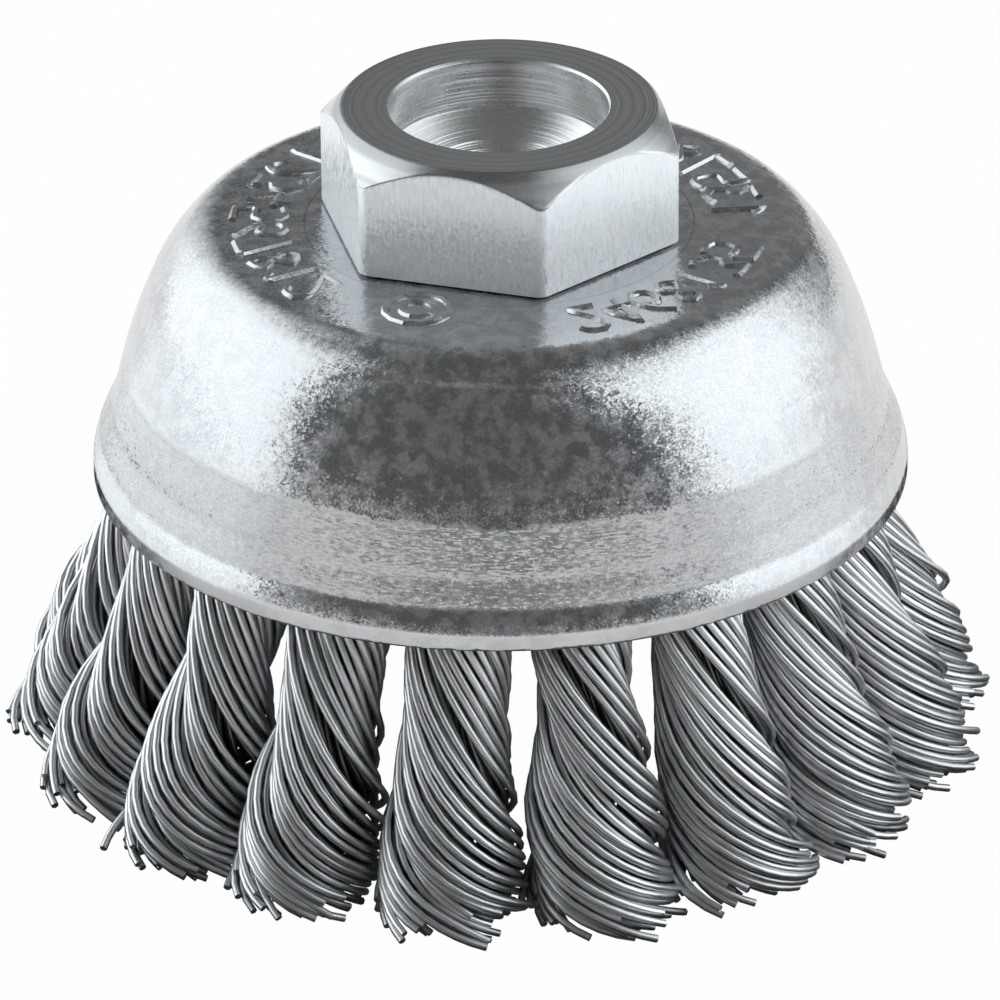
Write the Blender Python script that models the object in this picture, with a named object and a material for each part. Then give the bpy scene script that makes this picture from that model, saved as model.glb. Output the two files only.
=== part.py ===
"""Knotted wire cup brush with a hexagon arbor nut.

The brush stands on the cut tips of its knots, on Z = 0, with its axis on Z.
A pressed steel cup covers an inner holder cup. Each of the knots is one bundle
of steel wire, pushed through a hole in the holder's skirt, folded down over the
web below that hole and twisted into a rope. The arbor nut passes through both
cups and is staked over inside, which clamps them together.
"""

from math import atan2, cos, pi, radians, sin, tan

import bmesh
import bpy
from mathutils import Matrix

MM = 0.001

# Gap left between pieces that touch on the real brush
SEAT_GAP = 0.3 * MM

# Heights that stack up from the tips to the top of the nut
KNOT_PROJECTION = 19.4 * MM
CUP_HEIGHT = 18.05 * MM
NUT_HEAD_HEIGHT = 8.35 * MM

# Arbor nut
NUT_ACROSS_FLATS = 22.0 * MM
NUT_CORNER_RADIUS = 1.0 * MM
NUT_TOP_RADIUS = 10.64 * MM
NUT_CHAMFER_ANGLE = radians(47)
NUT_BASE_RELIEF = 0.25 * MM
NUT_RELIEF_ANGLE = radians(30)
COUNTERBORE_RADIUS = 7.4 * MM
COUNTERBORE_DEPTH = 3.5 * MM
COUNTERBORE_LIP = 0.15 * MM
DRILL_POINT_ANGLE = radians(118)
THREAD_MINOR_RADIUS = 4.3 * MM
THREAD_MOUTH_CHAMFER = 0.7 * MM
SHANK_RADIUS = 7.0 * MM
STAKE_RADIUS = 8.8 * MM
STAKE_THICKNESS = 1.3 * MM

# Outer cup, by the bends of its pressed outer face from the crown to the lip
LIP_RADIUS = 27.85 * MM
CUP_WALL = 1.2 * MM
SHOULDER_INSIDE_BEND = 2.3 * MM
SHOULDER_SLOPE = radians(45)
HAUNCH_BEND = 11.5 * MM
HAUNCH_SLOPE = radians(66)
BELLY_BEND = 39.0 * MM
WALL_SLOPE = radians(76)
STEP_BEND = 4.0 * MM
STEP_SLOPE = radians(64)
STEP_FLARE = 1.0 * MM
BAND_INSIDE_BEND = 6.8 * MM
BAND_SLOPE = radians(80)
LAND_INSIDE_BEND = 0.2 * MM
LAND_SLOPE = radians(89)
LIP_LAND = 1.1 * MM

# Inner holder cup
HOLDER_WALL = 1.5 * MM
HOLDER_INSIDE_BEND = 2.0 * MM
HOLDER_EDGE_ABOVE_LIP = 2.2 * MM
WEB_HEIGHT = 2.5 * MM

# Wire knots
KNOT_COUNT = 18
KNOT_LEAN = radians(17.5)
KNOT_PHASE = radians(10)
KNOT_LIP_CLEARANCE = 0.5 * MM
KNOT_NECK_WIDTH = 5.2 * MM
KNOT_WAIST_WIDTH = 7.0 * MM
KNOT_WAIST_DEPTH = 6.2 * MM
KNOT_BELL_WIDTH = 9.6 * MM
KNOT_BELL_DEPTH = 9.7 * MM
BELL_HEIGHT = 5.0 * MM
FLARE_HEIGHT = 9.0 * MM
KNOT_SPACE = 0.35 * MM
STRAND_RIDGES = 8
RIDGE_HEIGHT = 0.8 * MM
LEG_VALLEY_DEPTH = 0.5 * MM
LAY_ANGLE_AT_NECK = radians(56)
LAY_ANGLE_AT_TIP = radians(24)
LAY_GROWTH = 3
BUNDLE_WIDTH = 3.6 * MM
BUNDLE_THICKNESS = 2.1 * MM

# Fineness of the round shapes
CUP_SEGMENTS = 48
HOLDER_SEGMENTS = 36
NUT_SEGMENTS = 36
HOLE_SIDES = 10
BUNDLE_SIDES = 6
KNOT_SECTIONS = 11
SECTION_CROWDING = 1.25
ROUND_EDGE_ANGLE = radians(35)

# Levels and radii that follow from the sizes above
LIP_LEVEL = KNOT_PROJECTION
CROWN_LEVEL = LIP_LEVEL + CUP_HEIGHT
NUT_SEAT_LEVEL = CROWN_LEVEL + SEAT_GAP
NUT_TOP_LEVEL = NUT_SEAT_LEVEL + NUT_HEAD_HEIGHT
NUT_CORNER_REACH = NUT_ACROSS_FLATS / 2 / cos(pi / 6)
HOLDER_TOP_LEVEL = CROWN_LEVEL - CUP_WALL - SEAT_GAP
STAKE_LEVEL = HOLDER_TOP_LEVEL - HOLDER_WALL - SEAT_GAP
HOLDER_EDGE_LEVEL = LIP_LEVEL + HOLDER_EDGE_ABOVE_LIP
SHANK_HOLE_RADIUS = SHANK_RADIUS + SEAT_GAP
KNOT_AXIS_AT_LIP = LIP_RADIUS - CUP_WALL - KNOT_LIP_CLEARANCE - KNOT_WAIST_DEPTH / 2
HOLE_RADIUS = BUNDLE_WIDTH / 2 + SEAT_GAP
LEG_OFFSET = HOLDER_WALL / 2 + SEAT_GAP + BUNDLE_THICKNESS / 2


class Profile:
    """A half section drawn as a chain of tangent lines and arcs.

    Each point keeps its radius, its level and the slope of the face there,
    measured down from level. The chain runs outwards and down.
    """

    def __init__(self, radius, level, slope=0.0):
        self.points = [(radius, level, slope)]

    def line(self, length):
        radius, level, slope = self.points[-1]
        self.points.append((radius + length * cos(slope), level - length * sin(slope), slope))

    def arc(self, bend, slope, steps):
        """Turn to a new slope; a bend of the other sign turns back outwards."""
        radius, level, start = self.points[-1]
        for step in range(1, steps + 1):
            at = start + (slope - start) * step / steps
            self.points.append((
                radius + bend * (sin(at) - sin(start)),
                level - bend * (cos(start) - cos(at)),
                at,
            ))

    def drop(self):
        return self.points[0][1] - self.points[-1][1]

    def reach(self):
        return self.points[-1][0] - self.points[0][0]

    def wall(self, thickness):
        """Closed section: the drawn face, and the same face set in by the wall."""
        outer = [(radius, level) for radius, level, slope in self.points]
        inner = [
            (radius - thickness * sin(slope), level - thickness * cos(slope))
            for radius, level, slope in self.points
        ]
        return outer + inner[::-1]


def clear_scene():
    for item in list(bpy.data.objects):
        bpy.data.objects.remove(item, do_unlink=True)


def steel(name, colour, roughness, metallic=1.0):
    material = bpy.data.materials.new(name)
    material.use_nodes = True
    shader = material.node_tree.nodes["Principled BSDF"]
    shader.inputs["Base Color"].default_value = (*colour, 1.0)
    shader.inputs["Roughness"].default_value = roughness
    shader.inputs["Metallic"].default_value = metallic
    return material


def mesh_from(bm, name):
    """Finish a closed mesh: faces that agree, all pointing out, with only true edges sharp."""
    bm.normal_update()
    bmesh.ops.recalc_face_normals(bm, faces=bm.faces)
    if bm.calc_volume(signed=True) < 0:
        bmesh.ops.reverse_faces(bm, faces=bm.faces)
    mesh = bpy.data.meshes.new(name)
    bm.to_mesh(mesh)
    bm.free()
    mesh.shade_smooth()
    mesh.set_sharp_from_angle(angle=ROUND_EDGE_ANGLE)
    return mesh


def add_object(name, mesh, material=None):
    item = bpy.data.objects.new(name, mesh)
    bpy.context.collection.objects.link(item)
    if material and not mesh.materials:
        mesh.materials.append(material)
    return item


def add_cutter(name, mesh):
    item = add_object(name, mesh)
    item.hide_render = True
    item.display_type = "WIRE"
    return item


def boolean(item, operation, other):
    modifier = item.modifiers.new(operation.title(), "BOOLEAN")
    modifier.operation = operation
    modifier.object = other
    modifier.solver = "EXACT"


def revolve(points, segments, closed=True):
    """Spin a half section once round Z. An open one starts and ends on the axis."""
    bm = bmesh.new()
    chain = [bm.verts.new((radius, 0.0, level)) for radius, level in points]
    edges = [bm.edges.new(pair) for pair in zip(chain, chain[1:])]
    if closed:
        edges.append(bm.edges.new((chain[-1], chain[0])))
    bmesh.ops.spin(
        bm,
        geom=chain + edges,
        cent=(0, 0, 0),
        axis=(0, 0, 1),
        angle=2 * pi,
        steps=segments,
        use_merge=True,
    )
    bmesh.ops.remove_doubles(bm, verts=bm.verts, dist=0.001 * MM)
    return bm


def hexagon_bar():
    """Bar stock for the head, longer at both ends: flats to front and back, corners rounded."""
    length = 2 * NUT_HEAD_HEIGHT
    middle = NUT_SEAT_LEVEL + NUT_HEAD_HEIGHT / 2
    bm = bmesh.new()
    bmesh.ops.create_cone(
        bm,
        cap_ends=True,
        segments=6,
        radius1=NUT_CORNER_REACH,
        radius2=NUT_CORNER_REACH,
        depth=length,
        matrix=Matrix.Translation((0, 0, middle)),
    )
    corner = bm.verts[:][0].co
    turn = Matrix.Rotation(-atan2(corner.y, corner.x), 3, "Z")
    bmesh.ops.rotate(bm, verts=bm.verts, matrix=turn)
    upright = [edge for edge in bm.edges if abs(edge.verts[0].co.z - edge.verts[1].co.z) > length / 2]
    bmesh.ops.bevel(
        bm,
        geom=upright,
        offset=NUT_CORNER_RADIUS * tan(pi / 6),
        segments=2,
        profile=0.5,
        affect="EDGES",
    )
    return bm


def nut_envelope():
    """Turned outline of the head: a flat top, a cone down past the corners, a relieved seat."""
    top = NUT_TOP_LEVEL
    wide = NUT_CORNER_REACH + NUT_CORNER_RADIUS
    cone_drop = (wide - NUT_TOP_RADIUS) * tan(NUT_CHAMFER_ANGLE)
    seat_radius = NUT_CORNER_REACH - NUT_BASE_RELIEF
    relief_rise = (wide - seat_radius) * tan(NUT_RELIEF_ANGLE)
    return revolve(
        [
            (0, top),
            (NUT_TOP_RADIUS, top),
            (wide, top - cone_drop),
            (wide, NUT_SEAT_LEVEL + relief_rise),
            (seat_radius, NUT_SEAT_LEVEL),
            (0, NUT_SEAT_LEVEL),
        ],
        NUT_SEGMENTS,
        closed=False,
    )


def nut_shank():
    """Plain shank through both cups, with the end staked out over the holder."""
    buried = NUT_SEAT_LEVEL + NUT_HEAD_HEIGHT / 4
    stake_end = STAKE_LEVEL - STAKE_THICKNESS
    slant = STAKE_THICKNESS / 2
    return revolve(
        [
            (0, buried),
            (SHANK_RADIUS, buried),
            (SHANK_RADIUS, STAKE_LEVEL),
            (STAKE_RADIUS, STAKE_LEVEL),
            (STAKE_RADIUS, STAKE_LEVEL - slant),
            (STAKE_RADIUS - slant, stake_end),
            (0, stake_end),
        ],
        NUT_SEGMENTS,
        closed=False,
    )


def nut_bore():
    """Counterbore with a broken lip, drill-point floor and tapping-size hole right through."""
    over = 1 * MM
    floor = NUT_TOP_LEVEL - COUNTERBORE_DEPTH
    mouth_radius = THREAD_MINOR_RADIUS + THREAD_MOUTH_CHAMFER
    slope = 1 / tan(DRILL_POINT_ANGLE / 2)
    mouth_level = floor - (COUNTERBORE_RADIUS - mouth_radius) * slope
    end = STAKE_LEVEL - STAKE_THICKNESS
    return revolve(
        [
            (0, NUT_TOP_LEVEL + over),
            (COUNTERBORE_RADIUS + COUNTERBORE_LIP, NUT_TOP_LEVEL + over),
            (COUNTERBORE_RADIUS + COUNTERBORE_LIP, NUT_TOP_LEVEL),
            (COUNTERBORE_RADIUS, NUT_TOP_LEVEL - COUNTERBORE_LIP),
            (COUNTERBORE_RADIUS, floor),
            (mouth_radius, mouth_level),
            (THREAD_MINOR_RADIUS, mouth_level - THREAD_MOUTH_CHAMFER),
            (THREAD_MINOR_RADIUS, end + THREAD_MOUTH_CHAMFER),
            (mouth_radius, end),
            (mouth_radius, end - over),
            (0, end - over),
        ],
        NUT_SEGMENTS,
        closed=False,
    )


def make_nut():
    nut = add_object(
        "arbor_nut",
        mesh_from(hexagon_bar(), "arbor_nut"),
        steel("zinc_plated_nut", (0.56, 0.57, 0.58), 0.32),
    )
    boolean(nut, "INTERSECT", add_cutter("nut_envelope_tool", mesh_from(nut_envelope(), "nut_envelope")))
    boolean(nut, "UNION", add_cutter("nut_shank_tool", mesh_from(nut_shank(), "nut_shank")))
    boolean(nut, "DIFFERENCE", add_cutter("nut_bore_tool", mesh_from(nut_bore(), "nut_bore")))
    return nut


def cup_bends(wall_length):
    """Outer face of the cup from the start of its shoulder to the lip."""
    face = Profile(0.0, CROWN_LEVEL)
    face.arc(SHOULDER_INSIDE_BEND + CUP_WALL, SHOULDER_SLOPE, 3)
    face.arc(HAUNCH_BEND, HAUNCH_SLOPE, 2)
    face.arc(BELLY_BEND, WALL_SLOPE, 2)
    face.line(wall_length)
    face.arc(-STEP_BEND, STEP_SLOPE, 1)
    face.line(STEP_FLARE)
    face.arc(BAND_INSIDE_BEND + CUP_WALL, BAND_SLOPE, 1)
    face.arc(LAND_INSIDE_BEND + CUP_WALL, LAND_SLOPE, 1)
    face.line(LIP_LAND)
    return face


def cup_profile():
    """The plain wall takes up the height that the bends leave, and the crown the radius."""
    bends = cup_bends(0.0)
    bends = cup_bends((CUP_HEIGHT - bends.drop()) / sin(WALL_SLOPE))
    face = Profile(SHANK_HOLE_RADIUS, CROWN_LEVEL)
    crown_edge = LIP_RADIUS - bends.reach()
    face.points += [(crown_edge + radius, level, slope) for radius, level, slope in bends.points]
    return face


def make_cup():
    section = cup_profile().wall(CUP_WALL)
    return add_object(
        "cup_shell",
        mesh_from(revolve(section, CUP_SEGMENTS), "cup_shell"),
        steel("zinc_plated_cup", (0.62, 0.63, 0.64), 0.28),
    )


def knot_axis_radius(level):
    return KNOT_AXIS_AT_LIP + (LIP_LEVEL - level) * tan(KNOT_LEAN)


def skirt_point(along, out):
    """Point in the plane of one knot: along the skirt from its edge, and out from its middle."""
    radius = knot_axis_radius(HOLDER_EDGE_LEVEL) - along * sin(KNOT_LEAN) + out * cos(KNOT_LEAN)
    level = HOLDER_EDGE_LEVEL + along * cos(KNOT_LEAN) + out * sin(KNOT_LEAN)
    return radius, level


def holder_profile():
    """Flat hub, one bend, and a straight skirt in line with the knots."""
    slope = pi / 2 - KNOT_LEAN
    edge_radius, edge_level = skirt_point(0.0, HOLDER_WALL / 2)
    bend = Profile(0.0, HOLDER_TOP_LEVEL)
    bend.arc(HOLDER_INSIDE_BEND + HOLDER_WALL, slope, 3)
    skirt_length = (HOLDER_TOP_LEVEL - edge_level - bend.drop()) / sin(slope)
    bend.line(skirt_length)
    hub_edge = edge_radius - bend.reach()
    face = Profile(SHANK_HOLE_RADIUS, HOLDER_TOP_LEVEL)
    face.points += [(hub_edge + radius, level, slope_at) for radius, level, slope_at in bend.points]
    return face


def knot_angle(index):
    """Turn of a knot from the front, -Y."""
    return KNOT_PHASE + 2 * pi * index / KNOT_COUNT


def make_holder():
    section = holder_profile().wall(HOLDER_WALL)
    holder = add_object(
        "wire_holder",
        mesh_from(revolve(section, HOLDER_SEGMENTS), "wire_holder"),
        steel("bare_pressed_steel", (0.42, 0.42, 0.42), 0.42),
    )
    boolean(holder, "DIFFERENCE", add_cutter("holder_holes_tool", mesh_from(holder_holes(), "holder_holes")))
    return holder


def holder_holes():
    """One hole for each knot, drilled square to the skirt above the web."""
    bm = bmesh.new()
    radius, level = skirt_point(WEB_HEIGHT + HOLE_RADIUS, 0.0)
    for index in range(KNOT_COUNT):
        turn = Matrix.Rotation(knot_angle(index) - pi / 2, 4, "Z")
        place = Matrix.Translation((radius, 0, level))
        tilt = Matrix.Rotation(pi / 2 - KNOT_LEAN, 4, "Y")
        bmesh.ops.create_cone(
            bm,
            cap_ends=True,
            segments=HOLE_SIDES,
            radius1=HOLE_RADIUS,
            radius2=HOLE_RADIUS,
            depth=4 * HOLDER_WALL,
            matrix=turn @ place @ tilt,
        )
    return bm


def blend(value_a, value_b, share):
    return value_a + (value_b - value_a) * share


def flare(level):
    """0 at the knot's waist and 1 in its bell, in a smooth S between them."""
    share = (BELL_HEIGHT + FLARE_HEIGHT - level) / FLARE_HEIGHT
    share = min(1.0, max(0.0, share))
    return share * share * (3 - 2 * share)


def knot_half_width(level, neck_level):
    """Half the knot's width round the brush, kept clear of its neighbours."""
    width = blend(KNOT_WAIST_WIDTH, KNOT_BELL_WIDTH, flare(level))
    if level > LIP_LEVEL:
        share = (neck_level - level) / (neck_level - LIP_LEVEL)
        width = blend(KNOT_NECK_WIDTH, width, share)
    room = 2 * knot_axis_radius(level) * sin(pi / KNOT_COUNT) - KNOT_SPACE
    return min(width, room) / 2


def knot_half_depth(level):
    return blend(KNOT_WAIST_DEPTH, KNOT_BELL_DEPTH, flare(level)) / 2


def loft(rings):
    """Skin a row of rings that have the same number of points, with both ends capped.

    Each face is split from the upper ring's next point to the lower ring's own one.
    On a rope whose rings turn forwards that is the short way, so no dent forms.
    """
    bm = bmesh.new()
    rims = [[bm.verts.new(point) for point in ring] for ring in rings]
    for upper, lower in zip(rims, rims[1:]):
        for index in range(len(upper)):
            after = (index + 1) % len(upper)
            bm.faces.new((upper[index], upper[after], lower[index]))
            bm.faces.new((upper[after], lower[after], lower[index]))
    bm.faces.new(rims[0])
    bm.faces.new(rims[-1])
    return bm


def knot_levels(neck_level):
    """Levels of the rope's sections down to the tips, where it turns fastest, ever closer."""
    shares = [section / KNOT_SECTIONS for section in range(KNOT_SECTIONS + 1)]
    return [neck_level * (1 - share) ** SECTION_CROWDING for share in shares]


def knot_rope():
    """Ridged rope, lofted down along its lean and twisted a little more at each section.

    The strands run down and round to the right, steep at the neck and flat at the tips.
    """
    neck_level = HOLDER_EDGE_LEVEL - SEAT_GAP
    levels = knot_levels(neck_level)
    twist = 0.0
    rings = []
    for above, level in zip([neck_level] + levels, levels):
        half_width = knot_half_width(level, neck_level)
        down = 1 - (above + level) / 2 / neck_level
        lay_angle = blend(LAY_ANGLE_AT_NECK, LAY_ANGLE_AT_TIP, down**LAY_GROWTH)
        twist += (above - level) / (half_width * tan(lay_angle))
        rings.append(rope_ring(level, knot_half_depth(level), half_width, twist))
    return loft(rings)


def rope_ring(level, half_depth, half_width, twist):
    """Level section of the rope: an oval with a groove between each two ridges.

    It is drawn in at both sides between the bundle's two legs, which turn with the twist.
    """
    ring = []
    for index in range(2 * STRAND_RIDGES):
        from_leg = pi * index / STRAND_RIDGES
        under = LEG_VALLEY_DEPTH * sin(from_leg) ** 2
        if index % 2:
            under += RIDGE_HEIGHT
        out = (half_depth - under) * cos(twist + from_leg)
        across = (half_width - under) * sin(twist + from_leg)
        ring.append((knot_axis_radius(level) + out, across, level))
    return ring


def bundle_fold():
    """The untwisted bundle: up one side of the skirt, through its hole and down the other side."""
    buried = SEAT_GAP + BUNDLE_THICKNESS / 2
    rings = [bundle_ring(-buried, LEG_OFFSET, 0.0)]
    for eighth in range(5):
        angle = pi * eighth / 4
        along = WEB_HEIGHT + LEG_OFFSET * sin(angle)
        rings.append(bundle_ring(along, LEG_OFFSET * cos(angle), angle))
    rings.append(bundle_ring(-buried, -LEG_OFFSET, pi))
    return loft(rings)


def bundle_ring(along, out, angle):
    """Flattened cross-section of the bundle, square to its path."""
    ring = []
    for side in range(BUNDLE_SIDES):
        turn = 2 * pi * (side + 0.5) / BUNDLE_SIDES
        thick = BUNDLE_THICKNESS / 2 * cos(turn)
        radius, level = skirt_point(along + thick * sin(angle), out + thick * cos(angle))
        ring.append((radius, BUNDLE_WIDTH / 2 * sin(turn), level))
    return ring


def knot_mesh():
    """One closed knot: the rope joined to its fold of untwisted wire."""
    rope = add_object("knot_rope_tool", mesh_from(knot_rope(), "knot_rope"))
    fold = add_cutter("knot_fold_tool", mesh_from(bundle_fold(), "knot_fold"))
    boolean(rope, "UNION", fold)
    evaluated = rope.evaluated_get(bpy.context.evaluated_depsgraph_get())
    mesh = bpy.data.meshes.new_from_object(evaluated)
    mesh.name = "wire_knot"
    bpy.data.objects.remove(rope, do_unlink=True)
    bpy.data.objects.remove(fold, do_unlink=True)
    return mesh


def make_knots():
    mesh = knot_mesh()
    material = steel("drawn_steel_wire", (0.30, 0.30, 0.31), 0.35)
    knots = []
    for index in range(KNOT_COUNT):
        knot = add_object(f"wire_knot_{index + 1:02d}", mesh, material)
        knot.rotation_euler.z = knot_angle(index) - pi / 2
        knots.append(knot)
    return knots


def main():
    clear_scene()
    brush = bpy.data.objects.new("wire_cup_brush", None)
    bpy.context.collection.objects.link(brush)
    for piece in [make_nut(), make_cup(), make_holder(), *make_knots()]:
        piece.parent = brush


main()
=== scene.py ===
"""Looks of the knotted wire cup brush: plated nut and cup, and knots of single wires."""

from math import cos, pi, radians, sin, tan

import bmesh
import bpy
import numpy as np
from mathutils import Matrix, Vector


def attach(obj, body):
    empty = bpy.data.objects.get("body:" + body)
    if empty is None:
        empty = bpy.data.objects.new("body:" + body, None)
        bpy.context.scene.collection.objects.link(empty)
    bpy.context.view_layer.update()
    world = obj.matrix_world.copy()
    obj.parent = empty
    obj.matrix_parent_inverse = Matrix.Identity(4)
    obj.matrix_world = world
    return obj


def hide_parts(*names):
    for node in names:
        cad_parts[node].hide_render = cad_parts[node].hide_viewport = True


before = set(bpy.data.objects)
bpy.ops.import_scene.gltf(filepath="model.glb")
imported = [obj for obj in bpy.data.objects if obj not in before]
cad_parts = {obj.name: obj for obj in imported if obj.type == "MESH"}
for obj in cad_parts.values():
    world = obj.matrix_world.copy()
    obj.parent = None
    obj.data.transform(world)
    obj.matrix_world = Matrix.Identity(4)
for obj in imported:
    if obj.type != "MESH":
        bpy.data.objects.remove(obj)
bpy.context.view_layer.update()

MM = 0.001
WHITE = (1.0, 1.0, 1.0, 1.0)

# Camera, turned about the brush's axis from the front and looking at a point on it
CAMERA_AZIMUTH = radians(17.0)
CAMERA_ELEVATION = radians(27.42)
CAMERA_ROLL = radians(0.34)
CAMERA_DISTANCE = 600 * MM
CAMERA_LENS = 314.6
CAMERA_SENSOR = 36.0
AIM_LEVEL = 16.21 * MM
AIM_SIDE = -0.062 * MM

# Studio: azimuths count from the camera towards its right, in degrees
FLOOR_DROP = 0.05 * MM
FLOOR_THICKNESS = 20 * MM
FLOOR_RADIUS = 1.6
FLOOR_COLUMNS = 96
FLOOR_COLOUR = 0.82
FLOOR_ROUGHNESS = 0.6
FLOOR_SHOWN_WHITE = 0.985
WORLD_LIGHT = 0.48
TENT_RADIUS = 1.5
TENT_GLOW = 0.12
TENT_REAR_GLOW = 0.21
TENT_FOOT = -6
TENT_COLUMNS = 37
TENT_SIDES = (80, 130)
TENT_ROOF = (50, 75)
SOFTBOX_RADIUS = 1.0
SOFTBOX_LEVEL = 30 * MM
SOFTBOX_GLOW = 1.68
SOFTBOX_TINT = (0.93, 0.975, 1.0, 1.0)
LEFT_SOFTBOX = {"edge": -64, "near": -64, "full": -69, "fade": -132, "far": -176, "slant": 0}
RIGHT_SOFTBOX = {"edge": 30, "near": 57, "full": 65, "fade": 104, "far": 146, "slant": 0.5}
SOFTBOX_FOOT = -12
SOFTBOX_TOP = {"fade": 38, "far": 66}
CARD_COLUMNS = 13
CARD_ROWS = 9
BOARD_LEVEL = 0.6 * MM
BOARD_NEAR = 72 * MM
BOARD_FAR = 900 * MM
FLAG_NEAR = 116 * MM
# Dark card under the brush, met only by rays that the metal mirrors: painted shade, standing in for the
# floor's shadow under the brush.
FOOT_LEVEL = -0.03 * MM
FOOT_RADIUS = 62 * MM
BOUNCE_GLOW = 1.35
FLAG_GLOW = 0.26
FLAG_SIDE_GLOW = 0.9
FLAG_TURN = (0.05, 0.85)
# Glow of the painted-shade card under the brush
UNDER_BRUSH_SHADOW_GLOW = 0.03

# Sizes as in the solids, but for the ropes' waist and lay, which their single wires show finer
LIP_LEVEL = 19.4 * MM
CROWN_LEVEL = 37.45 * MM
NUT_TOP_LEVEL = 46.1 * MM
NUT_ACROSS_FLATS = 22.0 * MM
NUT_CORNER_RADIUS = 1.0 * MM
NUT_TOP_RADIUS = 10.64 * MM
NUT_CHAMFER_ANGLE = radians(47)
NUT_BASE_RELIEF = 0.25 * MM
NUT_RELIEF_ANGLE = radians(30)
COUNTERBORE_RADIUS = 7.4 * MM
COUNTERBORE_DEPTH = 3.5 * MM
COUNTERBORE_LIP = 0.15 * MM
DRILL_POINT_ANGLE = radians(118)
THREAD_MINOR_RADIUS = 4.3 * MM
THREAD_MOUTH_CHAMFER = 0.7 * MM
SHANK_RADIUS = 7.0 * MM
STAKE_RADIUS = 8.8 * MM
STAKE_THICKNESS = 1.3 * MM
STAKE_LEVEL = 34.15 * MM
HOLE_IN_CUPS = 7.3 * MM
LIP_RADIUS = 27.85 * MM
CUP_WALL = 1.2 * MM
SHOULDER_BEND = 3.5 * MM
SHOULDER_SLOPE = radians(45)
HAUNCH_BEND = 11.5 * MM
HAUNCH_SLOPE = radians(66)
BELLY_BEND = 39.0 * MM
WALL_SLOPE = radians(76)
STEP_BEND = 4.0 * MM
STEP_SLOPE = radians(64)
STEP_FLARE = 1.0 * MM
BAND_BEND = 8.0 * MM
BAND_SLOPE = radians(80)
LAND_BEND = 1.4 * MM
LAND_SLOPE = radians(89)
LIP_LAND = 1.1 * MM
HOLDER_WALL = 1.5 * MM
HOLDER_INSIDE_BEND = 2.0 * MM
HOLDER_TOP_LEVEL = 35.95 * MM
HOLDER_EDGE_LEVEL = 21.6 * MM
WEB_HEIGHT = 2.5 * MM
HOLE_RADIUS = 2.1 * MM
LEG_OFFSET = 2.1 * MM
KNOT_COUNT = 18
KNOT_LEAN = radians(17.5)
KNOT_PHASE = radians(10)
KNOT_AXIS_AT_LIP = 23.05 * MM
KNOT_NECK_WIDTH = 5.2 * MM
KNOT_WAIST_WIDTH = 6.9 * MM
KNOT_WAIST_DEPTH = 6.2 * MM
KNOT_BELL_WIDTH = 9.6 * MM
KNOT_BELL_DEPTH = 9.7 * MM
BELL_HEIGHT = 5 * MM
FLARE_HEIGHT = 9 * MM
LAY_ANGLE_AT_NECK = radians(56)
LAY_ANGLE_AT_TIP = radians(15)
LAY_GROWTH = 2.2
BUNDLE_WIDTH = 3.6 * MM
BUNDLE_THICKNESS = 2.1 * MM

# Finer sizes that only the looks need
SEAM = 0.06 * MM
EDGE_BREAK = 0.07 * MM
THREAD_PITCH = 1.25 * MM
THREAD_DEPTH = 0.66 * MM
CUP_COLUMNS = 288
HOLDER_COLUMNS = 180
HOLE_SIDES = 24
SLIVER = 0.0002 * MM
FLAT_STATIONS = 20
CORNER_STATIONS = 9
CORNER_FROM_FLAT = 27.6
THREAD_STATIONS = 96
WIRE_RADIUS = 0.265 * MM
# Each layer's tone is the base of its wires' colour. The layers under the outer one are painted darker,
# as painted shade between the outer wires.
WIRE_LAYERS = (
    {"ends": 26, "depth": 0.0, "sides": 8, "tone": 0.82},
    {"ends": 26, "depth": 0.55, "sides": 6, "tone": 0.26},
    {"ends": 22, "depth": 1.2, "sides": 6, "tone": 0.14},
    {"ends": 16, "depth": 2.0, "sides": 6, "tone": 0.14},
    {"ends": 10, "depth": 2.9, "sides": 6, "tone": 0.14},
)
WIRE_STATIONS = 25
FOLD_STATIONS = 9
TAIL_STATIONS = 4
TWIST_STATIONS = 200
KNOT_SEED = 41

# How the wires lie in a rope: lengths, and the lobes as shares of its half width
CUT_LEVEL = 0.3 * MM
CUT_UNEVEN = 1.7 * MM
LEG_SWELL = 0.24
RIPPLE = 0.02
VALLEY_DEPTH = 0.35 * MM
VALLEY_GROWTH = 0.5 * MM
TIP_STAGGER = 0.35 * MM
CORE_RADIUS = 0.1 * MM
STIR_DEPTH = 0.04 * MM
LOOSE_DEPTH = 0.03 * MM
BOWED_SHARE = 0.04
BOW_REACH = (0.25 * MM, 0.5 * MM)
SPRUNG_SHARE = 0.3
SPRUNG = {"reach": 1.0 * MM, "tail": 0.7}
QUIET = {"reach": 0.3 * MM, "tail": 0.25}
TIP_SPLAY = 0.6 * MM
TIGHTNESS = (0.94, 1.06)
KNOT_SWAY = 0.25 * MM
TONE_SPREAD = (-0.12, 0.28)

# Raised marks on the crown
BEAD_RADIUS = 0.36 * MM
BEAD_SUNK = 0.14 * MM
BEAD_STATIONS = 15
BEAD_SIDES = 8
MARK_FOOT = 14.4 * MM
MARK_HEIGHT = 3.6 * MM
MARK_WIDTH = 1.9 * MM
STAMP_PLACE = (-22, 14.5 * MM)
STAMP_RADII = (2.2 * MM, 1.1 * MM)

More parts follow.
